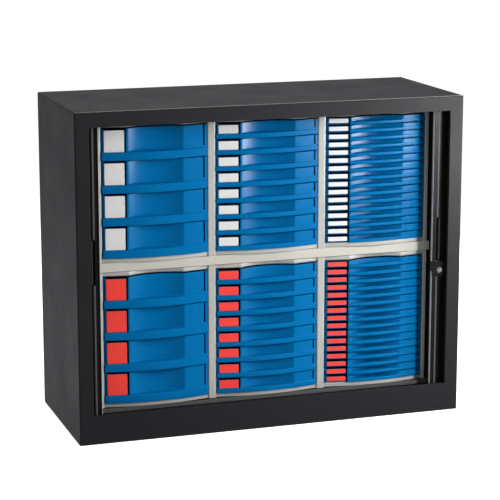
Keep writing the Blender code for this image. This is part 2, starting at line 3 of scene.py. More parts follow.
import bmesh
import bpy
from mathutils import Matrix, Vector

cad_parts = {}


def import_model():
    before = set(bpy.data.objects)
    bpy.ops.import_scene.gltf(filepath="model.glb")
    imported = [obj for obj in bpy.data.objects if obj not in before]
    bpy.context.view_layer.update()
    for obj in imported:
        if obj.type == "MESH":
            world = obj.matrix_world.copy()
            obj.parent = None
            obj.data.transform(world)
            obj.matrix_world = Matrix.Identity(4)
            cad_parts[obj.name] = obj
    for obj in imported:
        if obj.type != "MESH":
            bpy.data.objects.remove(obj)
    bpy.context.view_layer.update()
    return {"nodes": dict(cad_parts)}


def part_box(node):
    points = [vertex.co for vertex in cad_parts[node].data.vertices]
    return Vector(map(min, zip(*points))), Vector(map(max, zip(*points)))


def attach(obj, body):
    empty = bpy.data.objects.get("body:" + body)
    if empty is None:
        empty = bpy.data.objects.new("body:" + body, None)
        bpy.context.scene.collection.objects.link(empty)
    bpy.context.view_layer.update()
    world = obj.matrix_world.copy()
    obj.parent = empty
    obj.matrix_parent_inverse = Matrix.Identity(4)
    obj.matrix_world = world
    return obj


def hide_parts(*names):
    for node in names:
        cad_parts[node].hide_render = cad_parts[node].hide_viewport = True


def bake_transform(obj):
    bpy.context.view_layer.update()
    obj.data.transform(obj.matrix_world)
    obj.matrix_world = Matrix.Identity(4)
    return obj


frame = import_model()

# Sizes shared with the CAD, in metres
FRONT = -0.240
CASING_W = 0.3452
CASING_D = 0.3685
CASING_H = 0.4102
WALL = 0.012
SKIN = 0.004
PANEL = 0.013
RECESS = 0.012
STACK = CASING_H - 2 * PANEL
FRONT_INSET = 0.001
GAP_LOW = 0.0004
GAP_HIGH = 0.0026
FLANGE_HALF = 0.1601
FRONT_HALF = 0.1588
BOW = 0.0185
FLAT_ZONE = 0.077
SCOOP_HALF = FLANGE_HALF - FLAT_ZONE
SCOOP_DEPTH = 0.022
SCOOP_RADIUS = (SCOOP_HALF**2 + SCOOP_DEPTH**2) / (2 * SCOOP_DEPTH)
RIM_REACH = BOW * (1 - (SCOOP_HALF / FLANGE_HALF) ** 2)
WALL_FRONT = 0.0025
TRAY_HALF = 0.1541
TRAY_WALL = 0.002
TRAY_END = 0.3585
RIM_DROP = 0.003
FLANGE = 0.002
RUN_GAP = 0.0003
RUNNER = 0.003
RIM_SOFTNESS = 0.0012
CASING_SETBACK = 0.0042
SHEET = 0.0012
LABEL_WIDTH = 0.0572
LABEL_RADIUS = 0.0012
LABEL_X0 = -FRONT_HALF + 0.0082
LABEL_X1 = LABEL_X0 + LABEL_WIDTH
MOAT_LEFT = 0.0074
MOAT_RIGHT = 0.0054
SLIT_OUTER = 0.0070
SLIT_INNER = 0.0122
# kind: drawers, lip height, how proud the lip is, scoop's foot, hollow, label height, label base
KINDS = {
    "deep": (4, 0.0250, 0.0040, 0.88, 0.008, 0.0635, 0.0248),
    "medium": (8, 0.0145, 0.0030, 0.95, 0.0018, 0.0252, 0.0148),
    "slim": (16, 0.0100, 0.0012, 0.97, 0.0012, 0.0128, 0.0062),
}
FIXED = (3, 6, 9, 12, 15)
ROWS = ("upper", "lower")


# Mesh helpers


def smooth(mesh, angle=32):
    mesh.shade_smooth()
    mesh.set_sharp_from_angle(angle=math.radians(angle))
    return mesh


def mesh_of(name, verts, faces):
    """A mesh with its normals turned outwards."""
    mesh = bpy.data.meshes.new(name)
    mesh.from_pydata(verts, [], faces)
    bm = bmesh.new()
    bm.from_mesh(mesh)
    bmesh.ops.recalc_face_normals(bm, faces=bm.faces)
    bm.to_mesh(mesh)
    bm.free()
    return mesh


def loft_data(rings):
    """Vertices and faces of a closed solid through rings of equal length."""
    verts = [point for ring in rings for point in ring]
    size = len(rings[0])
    faces = []
    for r in range(len(rings) - 1):
        for i in range(size):
            j = (i + 1) % size
            faces.append((r * size + i, r * size + j, (r + 1) * size + j, (r + 1) * size + i))
    faces.append(tuple(reversed(range(size))))
    faces.append(tuple((len(rings) - 1) * size + i for i in range(size)))
    return verts, faces


def plan(outline, low, high):
    """A solid on an (x, y) outline, from one height to another."""
    return loft_data([[(x, y, z) for x, y in outline] for z in (low, high)])


def section(outline, near, far):
    """A solid on an (x, z) outline, from one depth to another."""
    return loft_data([[(x, y, z) for x, z in outline] for y in (near, far)])


def across(profile_at, stations):
    """A solid run along X, with a (y, z) profile at each station."""
    return loft_data([[(x, y, z) for y, z in profile_at(x)] for x in stations])


def box(low, high):
    outline = ((low[0], low[1]), (high[0], low[1]), (high[0], high[1]), (low[0], high[1]))
    return plan(outline, low[2], high[2])


def gather(name, solids):
    """One mesh from several solids."""
    verts, faces = [], []
    for more_verts, more_faces in solids:
        start = len(verts)
        verts += more_verts
        faces += [tuple(start + i for i in face) for face in more_faces]
    return mesh_of(name, verts, faces)


def fillet(corners, steps=3):
    """A closed outline from (u, v, radius) corners, each rounded by its radius."""
    points = []
    count = len(corners)
    for i, (u, v, radius) in enumerate(corners):
        here = Vector((u, v))
        if radius <= 0:
            points.append((u, v))
            continue
        before = Vector(corners[i - 1][:2]) - here
        after = Vector(corners[(i + 1) % count][:2]) - here
        reach = min(radius, 0.48 * before.length, 0.48 * after.length)
        start = here + before.normalized() * reach
        end = here + after.normalized() * reach
        for k in range(steps + 1):
            t = k / steps
            p = start * (1 - t) ** 2 + here * (2 * t * (1 - t)) + end * t**2
            points.append((p.x, p.y))
    return points


def cut(mesh, tools):
    """The mesh with closed tools taken away."""
    for tool in tools:
        body = bpy.data.objects.new("body", mesh)
        knife = bpy.data.objects.new("knife", tool)
        for item in (body, knife):
            bpy.context.scene.collection.objects.link(item)
        modifier = body.modifiers.new("cut", "BOOLEAN")
        modifier.operation = "DIFFERENCE"
        modifier.solver = "EXACT"
        modifier.object = knife
        dg = bpy.context.evaluated_depsgraph_get()
        mesh = bpy.data.meshes.new_from_object(body.evaluated_get(dg))
        for item in (body, knife):
            bpy.data.objects.remove(item, do_unlink=True)
    return mesh


def piece(name, mesh, material, body, place=(0, 0, 0)):
    """A named object that rides on a body, with the material in its slot."""
    mesh.materials.clear()
    mesh.materials.append(material)
    node = bpy.data.objects.new(name, mesh)
    node.location = place
    bpy.context.scene.collection.objects.link(node)
    if body:
        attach(node, body)
    return node


# Materials


class Paint:
    """A Principled material with helpers for procedural detail."""

    def __init__(self, name, roughness, specular=0.5, metallic=0.0):
        self.material = bpy.data.materials.new(name)
        self.material.use_nodes = True
        self.tree = self.material.node_tree
        self.shader = self.tree.nodes["Principled BSDF"]
        self.shader.inputs["Roughness"].default_value = roughness
        self.shader.inputs["Metallic"].default_value = metallic
        self.shader.inputs["Specular IOR Level"].default_value = specular
        self.coords = self.tree.nodes.new("ShaderNodeTexCoord")
        self.normal = None

    def noise(self, scale, detail=3.0, stretch=None):
        node = self.tree.nodes.new("ShaderNodeTexNoise")
        node.inputs["Scale"].default_value = scale
        node.inputs["Detail"].default_value = detail
        source = self.coords.outputs["Object"]
        if stretch:
            mapping = self.tree.nodes.new("ShaderNodeMapping")
            mapping.inputs["Scale"].default_value = stretch
            self.tree.links.new(source, mapping.inputs["Vector"])
            source = mapping.outputs["Vector"]
        self.tree.links.new(source, node.inputs["Vector"])
        return node.outputs["Fac"]

    def colours(self, fac, stops):
        ramp = self.tree.nodes.new("ShaderNodeValToRGB")
        elements = ramp.color_ramp.elements
        while len(elements) < len(stops):
            elements.new(0.5)
        for element, (position, colour) in zip(elements, stops):
            element.position = position
            element.color = (*colour, 1.0)
        self.tree.links.new(fac, ramp.inputs["Fac"])
        self.tree.links.new(ramp.outputs["Color"], self.shader.inputs["Base Color"])

    def roughness(self, fac, low, high):
        span = self.tree.nodes.new("ShaderNodeMapRange")
        span.inputs["From Min"].default_value = 0.3
        span.inputs["From Max"].default_value = 0.7
        span.inputs["To Min"].default_value = low
        span.inputs["To Max"].default_value = high
        self.tree.links.new(fac, span.inputs["Value"])
        self.tree.links.new(span.outputs["Result"], self.shader.inputs["Roughness"])

    def soft_edges(self, radius):
        node = self.tree.nodes.new("ShaderNodeBevel")
        node.samples = 6
        node.inputs["Radius"].default_value = radius
        self.normal = node.outputs["Normal"]

    def bump(self, fac, strength, distance):
        node = self.tree.nodes.new("ShaderNodeBump")
        node.inputs["Strength"].default_value = strength
        node.inputs["Distance"].default_value = distance
        self.tree.links.new(fac, node.inputs["Height"])
        if self.normal:
            self.tree.links.new(self.normal, node.inputs["Normal"])
        self.normal = node.outputs["Normal"]
        self.tree.links.new(self.normal, self.shader.inputs["Normal"])


def shades(colour, low, high):
    """Three stops of a ramp around one colour."""
    dark = tuple(low * c for c in colour)
    light = tuple(high * c for c in colour)
    return [(0.30, dark), (0.50, colour), (0.70, light)]


def powder_coat(name, colour, roughness, specular):
    """Painted steel: a fine pebbled coat with softened edges."""
    paint = Paint(name, roughness, specular)
    paint.soft_edges(0.0022)
    paint.colours(paint.noise(3.0, 4), shades(colour, 0.94, 1.06))
    paint.roughness(paint.noise(9.0, 4), roughness - 0.04, roughness + 0.05)
    paint.bump(paint.noise(700.0, 2), 0.10, 0.0006)
    paint.bump(paint.noise(160.0, 2), 0.04, 0.0010)
    return paint.material


def moulding(name, colour, roughness, specular):
    """Plastic with a faint grain and slight waviness."""
    paint = Paint(name, roughness, specular)
    paint.colours(paint.noise(6.0, 3), shades(colour, 0.94, 1.06))
    paint.roughness(paint.noise(40.0, 4), roughness - 0.03, roughness + 0.05)
    paint.bump(paint.noise(1400.0, 2), 0.05, 0.0003)
    paint.bump(paint.noise(14.0, 2), 0.05, 0.0012)
    return paint.material


def card(name, colour):
    """Card with paper fibres."""
    paint = Paint(name, 0.6, 0.3)
    paint.colours(paint.noise(260.0, 5, (1.0, 1.0, 0.4)), shades(colour, 0.965, 1.03))
    paint.bump(paint.noise(1800.0, 3, (0.4, 1.0, 1.0)), 0.12, 0.0002)
    return paint.material


def chrome(name):
    """Chrome painted dark, standing in for the dark surroundings that it mirrors, with fine scratches."""
    paint = Paint(name, 0.12, metallic=1.0)
    # painted reflection: the dark colour stands in for the dark surroundings that the chrome mirrors
    paint.colours(paint.noise(120.0, 3), shades((0.15, 0.15, 0.154), 0.80, 1.15))
    paint.roughness(paint.noise(600.0, 3, (1.0, 1.0, 0.1)), 0.08, 0.22)
    paint.bump(paint.noise(1500.0, 2, (0.1, 1.0, 1.0)), 0.06, 0.0002)
    return paint.material


BLACK = powder_coat("black_powder_coat", (0.0130, 0.0128, 0.0152), 0.66, 0.07)
# Anthracite coat: the lock catch's own colour; on the bead, the grip's far wall and the floor's front
# edge it is a painted highlight, lighter than the black they would be
TRIM_AND_HIGHLIGHT = powder_coat("anthracite_coat_and_painted_highlight", (0.085, 0.083, 0.085), 0.66, 0.07)
# painted highlight: a light grey coat for the fold along the top's front, standing in for the line of
# light it catches
EDGE_HIGHLIGHT = powder_coat("painted_highlight_coat", (0.19, 0.19, 0.195), 0.55, 0.2)
WHITE_STEEL = powder_coat("off_white_powder_coat", (0.53, 0.513, 0.456), 0.50, 0.2)
CASING = moulding("pale_grey_moulding", (0.44, 0.440, 0.418), 0.40, 0.2)
BLUE = moulding("blue_moulding", (0.0002, 0.139, 0.366), 0.28, 0.026)
SHUTTER = moulding("black_extrusion", (0.008, 0.0078, 0.0085), 0.45, 0.03)
STRIP = moulding("pale_seal", (0.70, 0.65, 0.60), 0.7, 0.1)
CHROME = chrome("lock_chrome")
LABELS = {
    "upper": card("white_card", (0.80, 0.80, 0.79)),
    "lower": card("red_card", (0.98, 0.056, 0.042)),
}

for node in ("carcass", "back_panel"):
    thing = frame["nodes"][node]
    thing.data.materials.clear()
    thing.data.materials.append(BLACK)


# Drawers, with x = 0 in the middle, y = 0 on the flat and z = 0 at the base of the pitch


def flat(x):
    """The plane of each end of the front, set on the bow."""
    return -RIM_REACH * (FLANGE_HALF - abs(x)) / FLAT_ZONE


def front_y(x):
    """The front's surface: a flat at each end and the scoop between, with soft rims."""
    arc = SCOOP_DEPTH - RIM_REACH - SCOOP_RADIUS + math.sqrt(max(SCOOP_RADIUS**2 - x * x, 0.0))
    gap = arc - flat(x)
    return flat(x) + 0.5 * (gap + math.sqrt(gap * gap + RIM_SOFTNESS**2))


def lip_front(x, proud):
    """The bow that the lip follows from end to end."""
    return -proud - BOW * (1 - (x / FLANGE_HALF) ** 2)


def lean(solid):
    """A solid for one of the flats, turned with it."""
    verts, faces = solid
    return [(x, y + flat(x), z) for x, y, z in verts], faces


def front_stations(steps):
    """Places along X where the front gets a profile: even on the scoop, close at its rims."""
    reach = math.asin(SCOOP_HALF / SCOOP_RADIUS)
    inside = [SCOOP_RADIUS * math.sin(reach * (2 * i / steps - 1)) for i in range(1, steps)]
    ends = [SCOOP_HALF - 0.0015, SCOOP_HALF, SCOOP_HALF + 0.0015, SCOOP_HALF + 0.004, FRONT_HALF]
    return sorted([-x for x in ends] + inside + ends)


def front_profile(pitch, lip, proud, foot, hollow):
    """The front cut through at x: a lip that is hollow underneath and a wall that leans back above it."""
    low = GAP_LOW
    high = pitch - GAP_HIGH

    def at(x):
        back = front_y(x)
        front = lip_front(x, proud)
        ledge = flat(x) + foot * (back - flat(x))
        near = min(front + WALL_FRONT, ledge - 0.0002)
        corners = (
            (front, low, 0.0012),
            (front, lip, 0.0026),
            (ledge, lip, hollow),
            (back, high, 0.0010),
            (back + WALL_FRONT, high, 0),
            (back + WALL_FRONT, low, 0),
            (ledge, low, 0),
            (ledge, lip - WALL_FRONT, 0),
            (near, lip - WALL_FRONT, 0),
            (near, low, 0),
        )
        return fillet(corners, 4)

    return at


def tray_solids(pitch, notch):
    """The tray behind the front; its floor stands back by the notch behind the label."""
    low = GAP_LOW
    rim = pitch - RIM_DROP
    half = WALL_FRONT / 2
    curve = [x for x in front_stations(16) if abs(x) <= SCOOP_HALF + 0.002]
    floor = [(-TRAY_HALF, TRAY_END), (-TRAY_HALF, flat(TRAY_HALF) + half + notch)]
    floor += [(curve[0] - 0.001, front_y(curve[0]) + half + notch)]
    floor += [(x, front_y(x) + half) for x in curve]
    floor += [(TRAY_HALF, flat(TRAY_HALF) + half), (TRAY_HALF, TRAY_END)]
    solids = [plan(floor, low, low + TRAY_WALL)]
    inner = TRAY_HALF - TRAY_WALL
    rear = TRAY_END - TRAY_WALL
    rounded = fillet(
        (
            (-TRAY_HALF, half, 0),
            (-TRAY_HALF, TRAY_END, 0.006),
            (TRAY_HALF, TRAY_END, 0.006),
            (TRAY_HALF, half, 0),
            (inner, half, 0),
            (inner, rear, 0.005),
            (-inner, rear, 0.005),
            (-inner, half, 0),
        ),
        4,
    )
    solids.append(plan(rounded, low + TRAY_WALL / 2, rim))
    for side in (-1, 1):
        xs = sorted((side * (TRAY_HALF - 0.001), side * FLANGE_HALF))
        solids.append(box((xs[0], half, rim - FLANGE), (xs[1], TRAY_END, rim - 0.0001)))
    return solids


def drawer_mesh(kind):
    """The front with its window and slit, the holder of the label and the tray."""
    count, lip, proud, foot, hollow, label, base = KINDS[kind]
    pitch = STACK / count
    front = gather("front", [across(front_profile(pitch, lip, proud, foot, hollow), front_stations(22))])
    open_below = kind == "slim"
    window = box(
        (LABEL_X0 - MOAT_LEFT, -0.020, GAP_LOW - 0.001 if open_below else base - 0.0006),
        (LABEL_X1 + MOAT_RIGHT, 0.0040, pitch),
    )
    slit = box(
        (FRONT_HALF - SLIT_INNER, -0.010, lip + 0.0016 + 0.06 * pitch),
        (FRONT_HALF - SLIT_OUTER, 0.010, pitch - 0.0034),
    )
    front = cut(front, [gather("window", [lean(window)]), gather("slit", [lean(slit)])])
    low = (LABEL_X0 - 0.0005, 0.0020, base - 0.0014)
    high = (LABEL_X1 + 0.0005, 0.0034, base + label + 0.0003)
    holder = [box(low, high)]
    if open_below:
        middle = (LABEL_X0 + LABEL_X1) / 2
        holder.append(box((middle - 0.012, 0.0030, base + 0.002), (middle + 0.012, 0.0130, base + 0.005)))
        holder.append(box((LABEL_X0, 0.0110, GAP_LOW), (LABEL_X1, 0.0130, base + 0.004)))
    bm = bmesh.new()
    bm.from_mesh(front)
    bm.from_mesh(gather("holder", [lean(solid) for solid in holder]))
    bm.from_mesh(gather("tray", tray_solids(pitch, 0.010 if open_below else 0.0)))
    mesh = bpy.data.meshes.new(f"{kind}_drawer")
    bm.to_mesh(mesh)
    bm.free()
    return smooth(mesh)


def label_mesh(kind):
    label, base = KINDS[kind][5:]
    corners = (
        (LABEL_X0, base, LABEL_RADIUS),
        (LABEL_X1, base, LABEL_RADIUS),
        (LABEL_X1, base + label, LABEL_RADIUS),
        (LABEL_X0, base + label, LABEL_RADIUS),
    )
    return smooth(gather(f"{kind}_label", [lean(section(fillet(corners, 4), 0.0010, 0.0020))]))


# Casings, with y = 0 on the front and z = 0 underneath


def panel_profile(front, low, high, back, under):
    """A casing's top or bottom panel cut through at x, with its lower front edge rounded by under."""
    def at(x):
        y = front(x)
        corners = ((y, low, under), (y, high, 0.0024), (back, high, 0), (back, low, 0))
        return fillet(corners, 4)

    return at


def casing_mesh(kind):
    """Sides with runners, curved top and bottom panels and a back."""
    count = KINDS[kind][0]
    pitch = STACK / count
    half = CASING_W / 2 + 0.0002
    solids = []
    for side in (-1, 1):
        corners = (
            (side * half, 0, 0.0005),
            (side * (half - WALL), 0, 0.0042),
            (side * (half - WALL), RECESS, 0.0006),
            (side * (half - SKIN), RECESS, 0),
            (side * (half - SKIN), CASING_D, 0),
            (side * half, CASING_D, 0.0015),
        )
        solids.append(plan(fillet(corners, 5), 0, CASING_H))
        top = pitch - RIM_DROP - FLANGE - RUN_GAP
        for number in range(1, count + 1):
            base = PANEL + STACK - number * pitch + top
            xs = sorted((side * (TRAY_HALF + 0.001), side * (half - SKIN / 2)))
            solids.append(box((xs[0], RECESS + 0.0003, base - RUNNER), (xs[1], CASING_D - SKIN, base)))
    inner = half - WALL + 0.0008
    stations = [x for x in front_stations(22) if abs(x) < inner - 0.002]
    stations = [-inner, *stations, inner]

    def arch(x):
        return CASING_SETBACK + front_y(x)

    def nose(x):
        return CASING_SETBACK + lip_front(x, 0.0)

    rear = CASING_D - 0.0005
    solids.append(across(panel_profile(arch, CASING_H - PANEL, CASING_H - 0.0002, rear, 0.006), stations))
    solids.append(across(panel_profile(nose, 0.0002, PANEL, rear, 0.0024), stations))
    low = (-half + SKIN / 2, CASING_D - 0.003, 0.001)
    high = (half - SKIN / 2, CASING_D - 0.0002, CASING_H - 0.001)
    solids.append(box(low, high))
    return smooth(gather(f"{kind}_casing", solids))


for kind in KINDS:
    count = KINDS[kind][0]
    drawer = drawer_mesh(kind)
    casing = casing_mesh(kind)
    cards = {row: label_mesh(kind) for row in ROWS}
    pitch = STACK / count
    for row in ROWS:
        node = f"casing_{kind}_{row}"
        low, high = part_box(node)
        x = (low[0] + high[0]) / 2
        front = high[1] - CASING_D
        shell = piece(f"{node}_shell", casing, CASING, "carcass", (x, front, low[2]))
        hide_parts(node)
        for number in range(1, count + 1):
            name = f"drawer_{kind}_{row}_{number}"
            z = low[2] + PANEL + STACK - number * pitch
            place = (x, front + FRONT_INSET, z)
            fixed = kind == "slim" and number in FIXED
            body = "carcass" if fixed else name
            tray = piece(f"{name}_moulding", drawer, BLUE, body, place)
            if not fixed:
                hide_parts(name)
            piece(f"{name}_label", cards[row], LABELS[row], body, place)


# Shelf


def shelf():
    """A sheet folded down along all four edges."""
    low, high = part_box("shelf")
    t = SHEET
    corners = (
        (low[1], low[2], 0),
        (low[1], high[2], 0.0022),
        (high[1], high[2], 0.0022),
        (high[1], low[2], 0),
        (high[1] - t, low[2], 0),
        (high[1] - t, high[2] - t, 0.001),
        (low[1] + t, high[2] - t, 0.001),
        (low[1] + t, low[2], 0),
    )
    outline = fillet(corners, 4)
    solids = [across(lambda x: outline, (low[0], high[0]))]
    for x in (low[0], high[0] - t):
        solids.append(box((x, low[1] + 0.0002, low[2]), (x + t, high[1] - 0.0002, high[2] - 0.002)))
    node = piece("shelf_tray", smooth(gather("shelf_tray", solids)), WHITE_STEEL, "carcass")
    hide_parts("shelf")


shelf()


# Shutters

BAR_FRONT = FRONT + 0.0165
BAR_BACK = BAR_FRONT + 0.020
CURTAIN_Y = BAR_BACK + 0.0065
CURTAIN_X = 0.588
CURTAIN_REAR = 0.222
BEND = 0.028
BAR_WIDTH = 0.051
SLAT = 0.022
# share of a slat's width, height of its face there
SLAT_FACE = ((0.0, 0.0012), (0.10, 0.0034), (0.16, 0.0040), (0.84, 0.0040), (0.90, 0.0034))
STORED_FACE = (*SLAT_FACE[:3], (0.50, 0.0040), *SLAT_FACE[3:])
SLAT_REAR = 0.0040
JOINT_REAR = 0.0030
STORED_TAIL = 0.09
TRACK_LOW = 0.0643
TRACK_HIGH = 0.9447
# side, meeting edge, travel
BARS = {"left": (-1, 0.527, 0.5265), "right": (1, 0.513, 0.5125)}
BAR_FACE = BAR_FRONT + 0.002
BAR_RECESS = BAR_FACE + 0.0080
BAR_ENDS = (TRACK_LOW + 0.001, TRACK_HIGH - 0.001)
HOOK_NEAR = 0.018
HOOK_FAR = 0.022
HOOK_END = BAR_BACK + 0.0105
GRIP_X = 0.0185
GRIP_Z = 0.540
GRIP_WIDTH = 0.0090
GRIP_HEIGHT = 0.136
GRIP_RADIUS = 0.0003
TOOL_START = BAR_FRONT - 0.01
LOCK = Vector((0.5385, BAR_FACE, 0.443))
LOCK_HOLE = 0.0098
CATCH_LOW = LOCK.z - 0.003
CATCH_HIGH = LOCK.z + 0.029
PLATE_RADIUS = 0.0050
KEYWAY_HALF_WIDTH = 0.0010
KEYWAY_HALF_HEIGHT = 0.0046
KEYWAY_RADIUS = 0.0008


def stadium(middle, centre, width, height, steps=8):
    """The outline of an upright slot with round ends."""
    radius = width / 2
    straight = height / 2 - radius
    points = []
    for k in range(steps + 1):
        a = math.pi * k / steps
        points.append((middle + radius * math.cos(a), centre + straight + radius * math.sin(a)))
    for k in range(steps + 1):
        a = math.pi + math.pi * k / steps
        points.append((middle + radius * math.cos(a), centre - straight + radius * math.sin(a)))
    return points


def ring(centre, radius, count=40):
    angles = [2 * math.pi * k / count for k in range(count)]
    return [(centre[0] + radius * math.cos(a), centre[1] + radius * math.sin(a)) for a in angles]


def grip_tool(side, edge):
    """The slot that the grip is cut with."""
    grip = stadium(side * (edge + GRIP_X), GRIP_Z, GRIP_WIDTH, GRIP_HEIGHT)
    return gather("grip", [section(grip, TOOL_START, BAR_FACE + 0.010)])


def lock_tool():
    """The round hole for the lock."""
    return gather("hole", [section(ring((LOCK.x, LOCK.z), LOCK_HOLE), TOOL_START, BAR_FACE + 0.014)])


def bar_mesh(name):
    """The lead bar: a lip, the raised band with the grip, the recess and the hook behind."""
    side, edge = BARS[name][:2]
    corners = (
        (edge, BAR_BACK, 0.0015),
        (edge, BAR_FRONT, 0.0016),
        (edge + 0.0055, BAR_FRONT, 0.0012),
        (edge + 0.0064, BAR_FACE, 0.0006),
        (edge + 0.0232, BAR_FACE, 0.0012),
        (edge + 0.0240, BAR_RECESS, 0.0016),
        (edge + BAR_WIDTH, BAR_RECESS, 0.0020),
        (edge + BAR_WIDTH, BAR_BACK, 0.0015),
        (edge + HOOK_FAR, BAR_BACK, 0),
        (edge + HOOK_FAR, HOOK_END, 0.001),
        (edge + HOOK_NEAR, HOOK_END, 0.001),
        (edge + HOOK_NEAR, BAR_BACK, 0),
    )
    outline = [(side * x, y) for x, y in fillet(corners)]
    mesh = gather("bar", [plan(outline, TRACK_LOW, TRACK_HIGH)])
    tools = [grip_tool(side, edge)]
    if name == "right":
        tools.append(lock_tool())
    return smooth(cut(mesh, tools))


def highlight_bead_mesh(name):
    """A crowned strip along the bar's face, painted in the lighter anthracite as the highlight on the
    raised band's edge; the grip is cut through it and the lock's plate breaks it.
    """
    side, edge = BARS[name][:2]
    corners = (
        (edge + 0.0138, BAR_FACE + 0.0010, 0),
        (edge + 0.0142, BAR_FACE - 0.0006, 0.0006),
        (edge + 0.0226, BAR_FACE + 0.0004, 0.0012),
        (edge + 0.0234, BAR_FACE + 0.0030, 0),
    )
    outline = [(side * x, y) for x, y in fillet(corners, 4)]
    low, high = BAR_ENDS
    if name == "left":
        runs = [(low, high)]
    else:
        runs = [(LOCK.z + 0.0262, high), (low, LOCK.z - 0.0197)]
    highlight_bead = gather("highlight_bead", [plan(outline, *run) for run in runs])
    return smooth(cut(highlight_bead, [grip_tool(side, edge)]))


def grip_highlight_mesh(name):
    """A thin piece on the grip's far wall, painted in the lighter anthracite as the light that the wall
    catches.
    """
    side, edge = BARS[name][:2]
    wall = edge + GRIP_X + GRIP_WIDTH / 2
    xs = sorted((side * (wall - 0.0008), side * (wall + 0.0008)))
    half = GRIP_HEIGHT / 2 - 0.004
    corners = (
        (xs[0], GRIP_Z - half, GRIP_RADIUS),
        (xs[1], GRIP_Z - half, GRIP_RADIUS),
        (xs[1], GRIP_Z + half, GRIP_RADIUS),
        (xs[0], GRIP_Z + half, GRIP_RADIUS),
    )
    solid = section(fillet(corners), BAR_FACE - 0.0002, BAR_FACE + 0.0095)
    return smooth(gather("grip_wall_highlight", [solid]))


def strip_mesh(name, runs):
    """The sealing strip along the bar's meeting edge, over the given heights."""
    side, edge = BARS[name][:2]
    corners = (
        (edge - 0.0004, BAR_FRONT + 0.0012, 0.0006),
        (edge + 0.0011, BAR_FRONT - 0.0002, 0.0008),
        (edge + 0.0020, BAR_FRONT + 0.0020, 0),
        (edge + 0.0010, BAR_FRONT + 0.0100, 0),
        (edge - 0.0004, BAR_FRONT + 0.0100, 0.0004),
    )
    outline = [(side * x, y) for x, y in fillet(corners)]
    return smooth(gather("strip", [plan(outline, low, high) for low, high in runs]))


def lock_plate_mesh():
    """The black plate round the lock."""
    left, right = BARS["right"][1] + 0.0002, BARS["right"][1] + 0.0430
    corners = (
        (left, LOCK.z - 0.0200, PLATE_RADIUS),
        (right, LOCK.z - 0.0200, PLATE_RADIUS),
        (right, LOCK.z + 0.0265, PLATE_RADIUS),
        (left, LOCK.z + 0.0265, PLATE_RADIUS),
    )
    plate = gather("plate", [section(fillet(corners, 5), BAR_FRONT - 0.0004, BAR_FACE + 0.0085)])
    return smooth(cut(plate, [lock_tool()]))


# (radius, y) profiles of the lock's barrel and of the dark ring in its face, a black piece painted in as
# the shade of the groove
LOCK_PROFILE = (
    (0.0002, -0.0034),
    (0.0056, -0.0034),
    (0.0059, -0.0030),
    (0.0059, -0.0010),
    (0.0076, -0.0010),
    (0.0078, -0.0026),
    (0.0088, -0.0026),
    (0.0094, -0.0018),
    (0.0095, 0.0),
    (0.0095, 0.0135),
    (0.0002, 0.0135),
)
GROOVE_SHADE_PROFILE = ((0.0058, -0.0013), (0.0077, -0.0013), (0.0077, -0.0008), (0.0058, -0.0008))


def turned(name, profile):
    """A closed (radius, y) profile turned about the lock's axis."""
    count = 40
    verts, faces = [], []
    for k in range(count):
        a = 2 * math.pi * k / count
        verts += [(r * math.cos(a), y, r * math.sin(a)) for r, y in profile]
    size = len(profile)
    for k in range(count):
        n = (k + 1) % count
        for i in range(size):
            j = (i + 1) % size
            faces.append((k * size + i, k * size + j, n * size + j, n * size + i))
    return smooth(mesh_of(name, verts, faces), 25)


def keyway_shade_mesh():
    """A black plate on the lock's face, painted in as the shade of the keyway's slot."""
    corners = (
        (-KEYWAY_HALF_WIDTH, -KEYWAY_HALF_HEIGHT, KEYWAY_RADIUS),
        (KEYWAY_HALF_WIDTH, -KEYWAY_HALF_HEIGHT, KEYWAY_RADIUS),
        (KEYWAY_HALF_WIDTH, KEYWAY_HALF_HEIGHT, KEYWAY_RADIUS),
        (-KEYWAY_HALF_WIDTH, KEYWAY_HALF_HEIGHT, KEYWAY_RADIUS),
    )
    return smooth(gather("keyway", [section(fillet(corners), -0.0036, -0.0030)]))


def stored_slats(name):
    """The slats that lie round the corner and along the side and back."""
    side = BARS[name][0]
    quarter = math.pi / 2 * BEND
    straight = CURTAIN_REAR - CURTAIN_Y - 2 * BEND

    def bend(centre_y, a, off):
        return (CURTAIN_X - BEND + (BEND + off) * math.cos(a), centre_y + (BEND + off) * math.sin(a))

    def at(s, off):
        if s < quarter:
            return bend(CURTAIN_Y + BEND, -math.pi / 2 + s / BEND, off)
        s -= quarter
        if s < straight:
            return (CURTAIN_X + off, CURTAIN_Y + BEND + s)
        s -= straight
        if s < quarter:
            return bend(CURTAIN_REAR - BEND, s / BEND, off)
        return (CURTAIN_X - BEND - (s - quarter), CURTAIN_REAR + off)

    count = round((2 * quarter + straight + STORED_TAIL) / SLAT)
    outer, inner = [], []
    for k in range(count):
        for share, off in STORED_FACE:
            outer.append(at((k + share) * SLAT, off))
        for share in (0.0, 0.25, 0.5, 0.75):
            inner.append(at((k + share) * SLAT, -SLAT_REAR if share else -JOINT_REAR))
    outline = [(side * x, y) for x, y in outer + inner[::-1]]
    return smooth(gather("slats", [plan(outline, TRACK_LOW, TRACK_HIGH)]))


